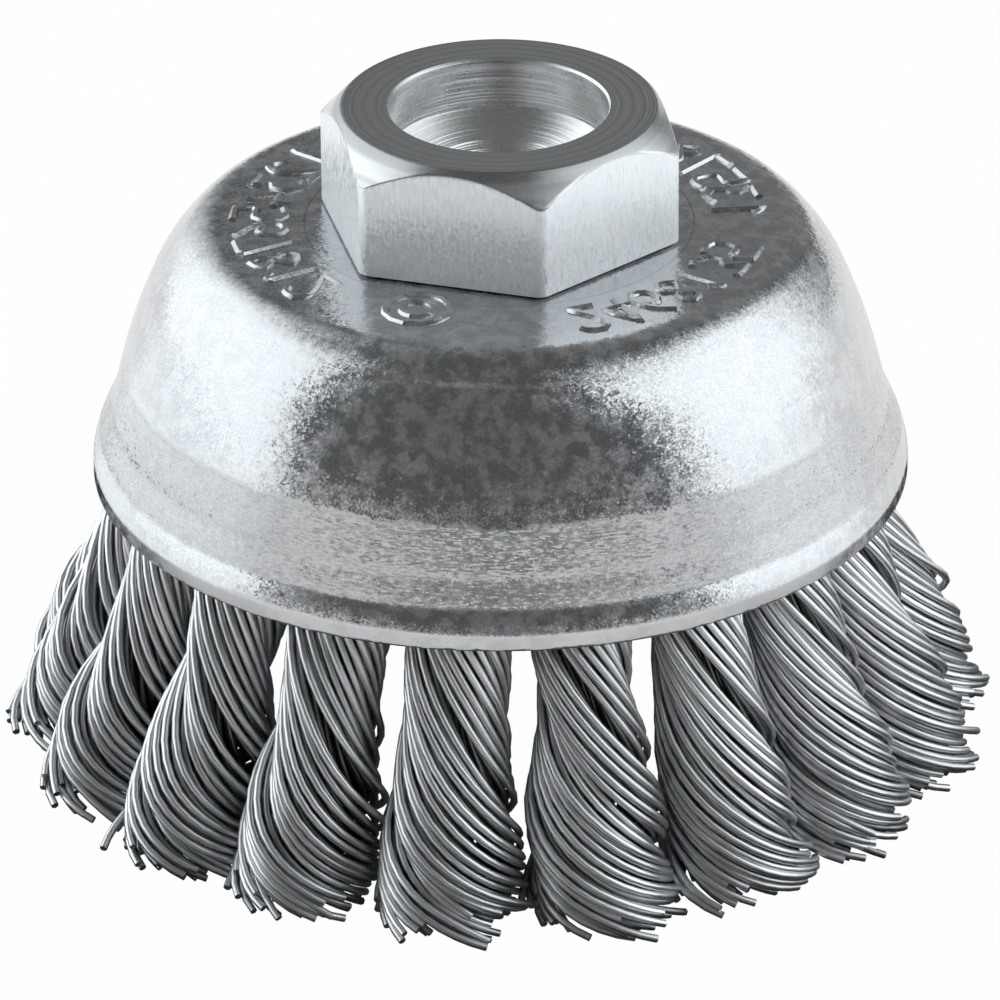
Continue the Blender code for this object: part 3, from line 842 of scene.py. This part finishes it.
def hole_tool():
    """Round bars, one for each knot, square to the holder's skirt."""
    radius, level = skirt_point(WEB_HEIGHT + HOLE_RADIUS, 0.0)
    turn = span(0, 2 * pi, HOLE_SIDES)
    ends = np.array([-2 * HOLDER_WALL, 2 * HOLDER_WALL])[:, None]
    out = np.array([cos(KNOT_LEAN), 0, sin(KNOT_LEAN)])
    up = np.array([-sin(KNOT_LEAN), 0, cos(KNOT_LEAN)])
    side = np.array([0, 1, 0])
    rim = np.cos(turn)[:, None] * up + np.sin(turn)[:, None] * side
    bar = np.array([radius, 0, level]) + ends[:, :, None] * out + HOLE_RADIUS * rim
    bars = [bar.reshape(-1, 3) @ knot_turn(index).T for index in range(KNOT_COUNT)]
    return np.concatenate(bars), tube_faces(KNOT_COUNT, 2, HOLE_SIDES)


def tube_faces(count, stations, sides):
    """Walls and end caps of many closed tubes, whose points are numbered tube by tube.

    A cap runs against the wall's edge that it meets, so that both face outwards.
    """
    offsets = (stations * sides * np.arange(count))[:, None, None]
    rim = np.arange(sides)
    caps = np.stack([rim[::-1], (stations - 1) * sides + rim])
    walls = (lattice(stations, sides)[None] + offsets).reshape(-1, 4)
    return [walls, (caps[None] + offsets).reshape(-1, sides)]


def knot_turn(index):
    """Turn matrix from a knot's own frame, outwards along X, to its place round the brush."""
    angle = KNOT_PHASE + 2 * pi * index / KNOT_COUNT - pi / 2
    return np.array([[cos(angle), -sin(angle), 0], [sin(angle), cos(angle), 0], [0, 0, 1]])


def make_holder(steel):
    """Holder turned from its section, with one round hole for each knot cut out of its skirt."""
    section = holder_section()
    faces = lattice(len(section), HOLDER_COLUMNS, wrap_rows=True)
    holder = add_piece("holder_cup", turned(section, HOLDER_COLUMNS), [faces], [steel])
    points, faces = hole_tool()
    tool = add_piece("hole_tool", points, faces, [steel, steel])
    cut = holder.modifiers.new("Holes", "BOOLEAN")
    cut.object = tool
    cut.operation = "DIFFERENCE"
    cut.solver = "EXACT"
    evaluated = holder.evaluated_get(bpy.context.evaluated_depsgraph_get())
    mesh = bpy.data.meshes.new_from_object(evaluated)
    knit(mesh)
    holder.modifiers.clear()
    holder.data = mesh
    bpy.data.objects.remove(tool, do_unlink=True)
    mesh.shade_smooth()
    mesh.set_sharp_from_angle(angle=radians(35))
    dress(holder, "holder_steel", "wire_holder")


def knit(mesh):
    """Merge points that a cut leaves closer together than can be told apart."""
    work = bmesh.new()
    work.from_mesh(mesh)
    bmesh.ops.remove_doubles(work, verts=work.verts, dist=SLIVER)
    work.to_mesh(mesh)
    work.free()


class RopeForm:
    """Size and turn of one knot's rope at each level, read from the neck down to the tips.

    The rope turns by one over its half width times the tangent of the lay angle, summed down
    its length. Each knot draws its own phases, tightness and sway.
    """

    def __init__(self, random):
        self.phases = random.uniform(0, 2 * pi, 5)
        self.tightness = random.uniform(*TIGHTNESS)
        self.sway = random.uniform(-KNOT_SWAY, KNOT_SWAY, 2)
        self.neck = HOLDER_EDGE_LEVEL
        self.levels = np.linspace(self.neck, 0, TWIST_STATIONS)
        share = 1 - self.levels / self.neck
        lay = LAY_ANGLE_AT_NECK + (LAY_ANGLE_AT_TIP - LAY_ANGLE_AT_NECK) * share**LAY_GROWTH
        rate = 1 / (self.half_width(self.levels) * np.tan(lay))
        step = self.neck / (len(self.levels) - 1)
        self.twist = np.concatenate([[0], np.cumsum((rate[1:] + rate[:-1]) / 2) * step])

    def flare(self, level):
        """0 at the waist and 1 in the bell, in a smooth S between them."""
        share = np.clip((BELL_HEIGHT + FLARE_HEIGHT - level) / FLARE_HEIGHT, 0, 1)
        return share * share * (3 - 2 * share)

    def half_width(self, level):
        """Half the width round the brush: narrow at the neck, even to the waist, wide in the bell."""
        above = np.clip((level - LIP_LEVEL) / (self.neck - LIP_LEVEL), 0, 1)
        width = KNOT_WAIST_WIDTH + (KNOT_BELL_WIDTH - KNOT_WAIST_WIDTH) * self.flare(level)
        return (width + (KNOT_NECK_WIDTH - KNOT_WAIST_WIDTH) * above) / 2

    def half_depth(self, level):
        """Half the depth out from the brush's axis."""
        return (KNOT_WAIST_DEPTH + (KNOT_BELL_DEPTH - KNOT_WAIST_DEPTH) * self.flare(level)) / 2

    def twist_at(self, level):
        """Angle by which the rope has turned since the neck."""
        return np.interp(self.neck - level, self.neck - self.levels, self.twist)

    def shares(self, stations):
        """Shares of the way down at which the rope has turned by equal steps."""
        turned_by = np.linspace(0, self.twist[-1], stations)
        return np.interp(turned_by, self.twist, 1 - self.levels / self.neck)


def rope_ends(form, random, count, depth):
    """Paths of one layer's wires from the neck to their cut ends.

    Each wire keeps its own angle in the rope, which turns with the twist, and its own depth under
    the rope's surface. Lobes that turn with the rope swell it, valleys sink groups of wires, slow
    waves stir them, and a few bow out. Near the cut the wires spring outwards, some of them far,
    and the last stretch leaves the helix along its tangent.
    """
    angle = (np.arange(count)[:, None] + 0.5) * 2 * pi / count
    cut_level = CUT_LEVEL + CUT_UNEVEN * random.random((count, 1)) ** 1.8
    level = form.neck - (form.neck - cut_level) * form.shares(WIRE_STATIONS)
    down = 1 - level / form.neck
    loose = np.clip(down * 3 - 0.25, 0, 1)
    at_tip = np.clip(down * 5 - 4, 0, 1)
    flare = form.flare(level)
    legs = np.sqrt(np.abs(np.cos(angle + form.phases[0]))) - 0.78
    ripples = np.cos(3 * angle + form.phases[1]) + np.cos(5 * angle + form.phases[2])
    lobes = LEG_SWELL * (1 - 0.45 * flare) * legs + RIPPLE * ripples
    groups = np.sin(4 * angle + form.phases[3]) + 0.7 * np.sin(7 * angle + form.phases[4])
    sunk = np.clip(-groups - 0.3, 0, 1) * (VALLEY_DEPTH + VALLEY_GROWTH * flare)
    sunk = sunk + np.arange(count)[:, None] % 2 * at_tip * TIP_STAGGER
    wave = random.uniform(0, 2 * pi, (count, 2))
    stir = np.sin(wave[:, :1] + down * random.uniform(3, 7, (count, 1)))
    drift = np.sin(wave[:, 1:] + down * random.uniform(2, 5, (count, 1)))
    bowed = (random.random((count, 1)) < BOWED_SHARE) * random.uniform(*BOW_REACH, (count, 1))
    bow = bowed * np.sin(pi * np.clip(down * 1.5 - 0.35, 0, 1)) ** 2
    under = WIRE_RADIUS + depth * MM * (1 + 0.25 * down)
    sprung = random.random((count, 1)) < SPRUNG_SHARE
    spring = np.where(sprung, SPRUNG["reach"], QUIET["reach"]) * random.random((count, 1))
    splay = at_tip**1.5
    under = under + loose * (STIR_DEPTH * stir + LOOSE_DEPTH) + sunk - bow - spring * splay
    turned_to = angle + form.twist_at(level) * form.tightness + loose * 0.025 * drift
    half_depth = form.half_depth(level) * (1 + lobes) - under
    half_width = form.half_width(level) * (1 + lobes) - under
    out = knot_axis_radius(level) + np.maximum(half_depth, CORE_RADIUS) * np.cos(turned_to)
    across = np.maximum(half_width + splay * TIP_SPLAY, CORE_RADIUS) * np.sin(turned_to)
    paths = np.stack([out + form.sway[0] * down**2, across + form.sway[1] * down**2, level], axis=-1)
    share = np.where(sprung, SPRUNG["tail"], QUIET["tail"]) * random.random((count, 1))
    return straighten_tails(paths, share[:, :, None])


def straighten_tails(paths, share):
    """Move the last stations part of the way to the tangent at the station before them."""
    root = paths[:, -TAIL_STATIONS - 1]
    heading = root - paths[:, -TAIL_STATIONS - 2]
    along = (paths[:, -TAIL_STATIONS:, 2] - root[:, None, 2]) / heading[:, None, 2]
    straight = root[:, None] + heading[:, None] * along[:, :, None]
    tails = paths[:, -TAIL_STATIONS:] * (1 - share) + straight * share
    return np.concatenate([paths[:, :-TAIL_STATIONS], tails], axis=1)


def fold_paths(count, depth):
    """Arcs over the holder's web that join each outer end to its mirror image on the inside.

    The arc's radius is the leg's offset plus the wire's place in the flattened bundle.
    """
    angle = (np.arange(count // 2)[:, None] - count / 4 + 0.5) * 2 * pi / count
    rim = 1 - depth * MM / (KNOT_WAIST_DEPTH / 2)
    thick = (rim * np.cos(angle) - 0.5) * (BUNDLE_THICKNESS - 2 * WIRE_RADIUS)
    wide = rim * np.sin(angle) * (BUNDLE_WIDTH / 2 - WIRE_RADIUS)
    turn = np.linspace(0, pi, FOLD_STATIONS)
    radius, level = skirt_point(
        WEB_HEIGHT + (LEG_OFFSET + thick) * np.sin(turn), (LEG_OFFSET + thick) * np.cos(turn)
    )
    return np.stack([radius, wide + 0 * turn, level], axis=-1)


def layer_paths(form, random, count, depth):
    """Whole wires of a layer: up from one cut end, over the web and down to the other."""
    ends = rope_ends(form, random, count, depth)
    half = count // 2
    outer = (np.arange(half) - count // 4) % count
    inner = (half - 1 - outer) % count
    return np.concatenate([ends[outer][:, ::-1], fold_paths(count, depth), ends[inner]], axis=1)


def tubes(paths, radius, sides):
    """Round wires along many paths at once: each ring is square to its path, and its first spoke
    is the spoke before it, laid over into the new ring's plane."""
    heading = np.gradient(paths, axis=1)
    heading /= np.linalg.norm(heading, axis=-1, keepdims=True)
    spoke = np.cross(heading[:, 0], [0.3, 0.5, 0.8])
    spokes = []
    for station in range(paths.shape[1]):
        ahead = heading[:, station]
        spoke = spoke - ahead * np.sum(spoke * ahead, axis=-1, keepdims=True)
        spoke = spoke / np.linalg.norm(spoke, axis=-1, keepdims=True)
        spokes.append(spoke)
    first = np.stack(spokes, axis=1)
    second = np.cross(heading, first)
    turn = span(0, 2 * pi, sides)[:, None]
    rings = first[:, :, None] * np.cos(turn) + second[:, :, None] * np.sin(turn)
    points = paths[:, :, None] + radius * rings
    return points.reshape(-1, 3), *tube_faces(*paths.shape[:2], sides)


def make_knot(index, steel, cut_face):
    """One knot of single wires, layer by layer from the outside in, each wire in its own tone. The deeper
    layers' tones are lower: painted shade between the outer wires.
    """
    random = np.random.default_rng(KNOT_SEED + index)
    form = RopeForm(random)
    points, faces, finishes, tones, count = [], [], [], [], 0
    for layer in WIRE_LAYERS:
        paths = layer_paths(form, random, layer["ends"], layer["depth"])
        skin, walls, caps = tubes(paths, WIRE_RADIUS, layer["sides"])
        # Random spread on the layer's tone. The deeper layers' lower tones are painted shade.
        tone = layer["tone"] + random.uniform(*TONE_SPREAD, (len(paths), 1))
        tone = tone + np.zeros((1, len(skin) // len(paths)))
        points.append(skin)
        tones.append(tone.ravel())
        faces += [walls + count, caps + count]
        finishes += [steel, cut_face]
        count += len(skin)
    points = np.concatenate(points) @ knot_turn(index).T
    name = f"wire_bundle_{index + 1:02d}"
    marks = {"wire_tone_and_layer_shade": np.concatenate(tones)}
    knot = add_piece(name, points, faces, finishes, marks, smooth_angle=65)
    dress(knot, "knot_wire", f"wire_knot_{index + 1:02d}")


def make_camera():
    """Camera from the aim point back along its line of sight, rolled a little about it."""
    sight = Vector((
        sin(CAMERA_AZIMUTH) * cos(CAMERA_ELEVATION),
        -cos(CAMERA_AZIMUTH) * cos(CAMERA_ELEVATION),
        sin(CAMERA_ELEVATION),
    ))
    right = Vector((cos(CAMERA_AZIMUTH), sin(CAMERA_AZIMUTH), 0))
    up = sight.cross(right)
    across = right * cos(CAMERA_ROLL) - up * sin(CAMERA_ROLL)
    upright = right * sin(CAMERA_ROLL) + up * cos(CAMERA_ROLL)
    aim = Vector((0, 0, AIM_LEVEL)) + right * AIM_SIDE
    camera = bpy.data.objects.new("camera", bpy.data.cameras.new("camera"))
    camera.data.lens = CAMERA_LENS
    camera.data.sensor_width = CAMERA_SENSOR
    camera.data.clip_start = 10 * MM
    camera.data.clip_end = 20
    bpy.context.scene.collection.objects.link(camera)
    turn = Matrix((across, upright, sight)).transposed().to_4x4()
    camera.matrix_world = Matrix.Translation(aim + sight * CAMERA_DISTANCE) @ turn
    bpy.context.scene.camera = camera


def shown_ray(nodes):
    """1 for rays that show the background: straight, mirrored or through glass."""
    rays = ("Is Camera Ray", "Is Glossy Ray", "Is Transmission Ray")
    camera, glossy, through = [nodes.node("LightPath", output=ray) for ray in rays]
    return camera.math("MINIMUM", camera + glossy + through, 1.0)


def make_floor():
    """Pale floor that shows almost white and keeps the brush's shadow."""
    finish = Finish("floor_paper", (FLOOR_COLOUR,) * 3, FLOOR_ROUGHNESS, 0.0)
    glow = finish.node("Emission", sockets={"Color": WHITE, "Strength": 1.0})
    paper = Signal(finish, finish.shader.outputs["BSDF"])
    share = shown_ray(finish) * FLOOR_SHOWN_WHITE
    finish.show(finish.node("MixShader", sockets={0: share, 1: paper, 2: glow}))
    turn = span(0, 2 * pi, FLOOR_COLUMNS)
    level = np.array([-FLOOR_DROP, -FLOOR_DROP - FLOOR_THICKNESS])[:, None] + 0 * turn
    rim = np.stack([np.cos(turn), np.sin(turn)], axis=-1) * FLOOR_RADIUS
    points = np.concatenate([np.stack([rim, rim]), level[:, :, None]], axis=-1)
    floor = add_piece("floor", points, tube_faces(1, 2, FLOOR_COLUMNS), [finish.material] * 2)


def glow_card(name, azimuths, elevations, radius, finish):
    """Part of a sphere round the brush, facing it: azimuth and elevation are its two parameters."""
    azimuth, elevation = np.meshgrid(CAMERA_AZIMUTH + np.radians(azimuths), np.radians(elevations))
    x, y = np.sin(azimuth) * np.cos(elevation), -np.cos(azimuth) * np.cos(elevation)
    points = np.stack([x, y, np.sin(elevation)], axis=-1)
    faces = lattice(len(elevations), len(azimuths), wrap_columns=False)
    card = add_card(name, points * radius + [0, 0, SOFTBOX_LEVEL], faces, finish)
    spread = np.stack(np.meshgrid(azimuths, elevations), axis=-1).reshape(-1, 2)[faces.ravel()]
    card.data.uv_layers.new(name="directions").data.foreach_set("uv", spread.astype(np.float32).ravel())


def add_card(name, points, faces, finish):
    """Open sheet of the studio, which the camera looks through and the metal mirrors."""
    mesh = bpy.data.meshes.new(name)
    mesh.from_pydata(points.reshape(-1, 3).tolist(), [], faces.tolist())
    mesh.materials.append(finish.material)
    card = bpy.data.objects.new(name, mesh)
    bpy.context.scene.collection.objects.link(card)
    card.visible_camera = False
    card.visible_shadow = False
    return card


def directions(finish):
    """Azimuth and elevation of a card's point, in degrees."""
    spread = finish.node("UVMap", {"uv_map": "directions"})
    azimuth = finish.node("SeparateXYZ", sockets={0: spread}, output="X")
    return azimuth, finish.node("SeparateXYZ", sockets={0: spread}, output="Y")


def make_softbox(name, box):
    """Curved softbox with a hard edge towards the camera, which fades to the back and upwards."""
    finish = Finish(name)
    azimuth, elevation = directions(finish)
    near = (azimuth + elevation * box["slant"]).rise(box["near"], box["full"])
    far = 1 - azimuth.rise(box["fade"], box["far"])
    top = 1 - elevation.rise(SOFTBOX_TOP["fade"], SOFTBOX_TOP["far"])
    finish.glow(near * far * top * (SOFTBOX_GLOW - TENT_GLOW) + TENT_GLOW, SOFTBOX_TINT)
    azimuths = np.linspace(box["edge"], box["far"], CARD_COLUMNS)
    elevations = np.linspace(SOFTBOX_FOOT, SOFTBOX_TOP["far"], CARD_ROWS)
    glow_card(name, azimuths, elevations, SOFTBOX_RADIUS, finish)


def plain_glow(name, strength):
    """Even glow in the softboxes' tint."""
    finish = Finish(name)
    finish.glow(strength, SOFTBOX_TINT, sampled=strength > 1)
    return finish


def floor_glow(name):
    """Floor before the brush: dim towards the camera and lighter towards the softboxes."""
    finish = Finish(name)
    sideways = finish.facing(90)
    side = sideways.math("ABSOLUTE", sideways).rise(*FLAG_TURN)
    finish.glow(FLAG_GLOW + side * (FLAG_SIDE_GLOW - FLAG_GLOW), sampled=False)
    return finish


def make_board(name, azimuths, near, far, level, finish):
    """Flat board on the floor beside the brush, part of a ring: glowing paper or dark cloth."""
    azimuth = CAMERA_AZIMUTH + np.radians(np.linspace(*azimuths, CARD_COLUMNS))
    turn, reach = np.meshgrid(azimuth, [near, far])
    points = np.stack([reach * np.sin(turn), -reach * np.cos(turn), level + 0 * turn], axis=-1)
    add_card(name, points, lattice(2, CARD_COLUMNS, wrap_columns=False), finish)


def make_tent():
    """Dark cloth all round and overhead, lighter behind, mirrored by the metal between the softboxes."""
    finish = Finish("tent")
    azimuth, elevation = directions(finish)
    behind = azimuth.math("ABSOLUTE", azimuth).rise(*TENT_SIDES) * (1 - elevation.rise(*TENT_ROOF))
    finish.glow(TENT_GLOW + behind * (TENT_REAR_GLOW - TENT_GLOW), sampled=False)
    azimuths = np.linspace(-180, 180, TENT_COLUMNS)
    glow_card("tent", azimuths, np.linspace(TENT_FOOT, 90, CARD_COLUMNS), TENT_RADIUS, finish)


def make_world():
    """White all round for what is looked at or mirrored, and a plain grey for the light it gives."""
    world = bpy.data.worlds.new("studio")
    world.use_nodes = True
    bpy.context.scene.world = world
    nodes = NodeTree(world.node_tree)
    background = world.node_tree.nodes["Background"]
    nodes.feed(background.inputs["Strength"], WORLD_LIGHT + shown_ray(nodes) * (1 - WORLD_LIGHT))
    nodes.feed(background.inputs["Color"], WHITE)


def make_studio():
    """Camera, floor, tent and softboxes, with glowing boards beside the brush and dim ones before it, and
    a dark card under it: painted shade, standing in for the floor's shadow that the metal mirrors.
    """
    make_camera()
    make_floor()
    make_tent()
    bounce = plain_glow("bounce", BOUNCE_GLOW)
    for side, box in (("left", LEFT_SOFTBOX), ("right", RIGHT_SOFTBOX)):
        make_softbox(f"softbox_{side}", box)
        reach = (box["full"], box["fade"])
        make_board(f"bounce_{side}", reach, BOARD_NEAR, BOARD_FAR, BOARD_LEVEL, bounce)
    front = (LEFT_SOFTBOX["full"], RIGHT_SOFTBOX["full"])
    make_board("flag_front", front, FLAG_NEAR, BOARD_FAR, BOARD_LEVEL, floor_glow("flag_front"))
    # Painted shade: dark card under the brush, standing in for the floor's shadow in the metal's
    # reflections
    make_board("under_brush_shadow_card", (-180, 180), 0.0, FOOT_RADIUS, FOOT_LEVEL, plain_glow("under_brush_shadow", UNDER_BRUSH_SHADOW_GLOW))
    make_world()


def main():
    """The studio, and then the brush piece by piece."""
    make_studio()
    bpy.context.scene.view_settings.view_transform = "Standard"
    make_cup(cup_plating())
    make_nut(nut_flats(), nut_turned())
    make_holder(holder_steel())
    steel, cut_face = wire_steel(), wire_ends()
    for index in range(KNOT_COUNT):
        make_knot(index, steel, cut_face)


main()
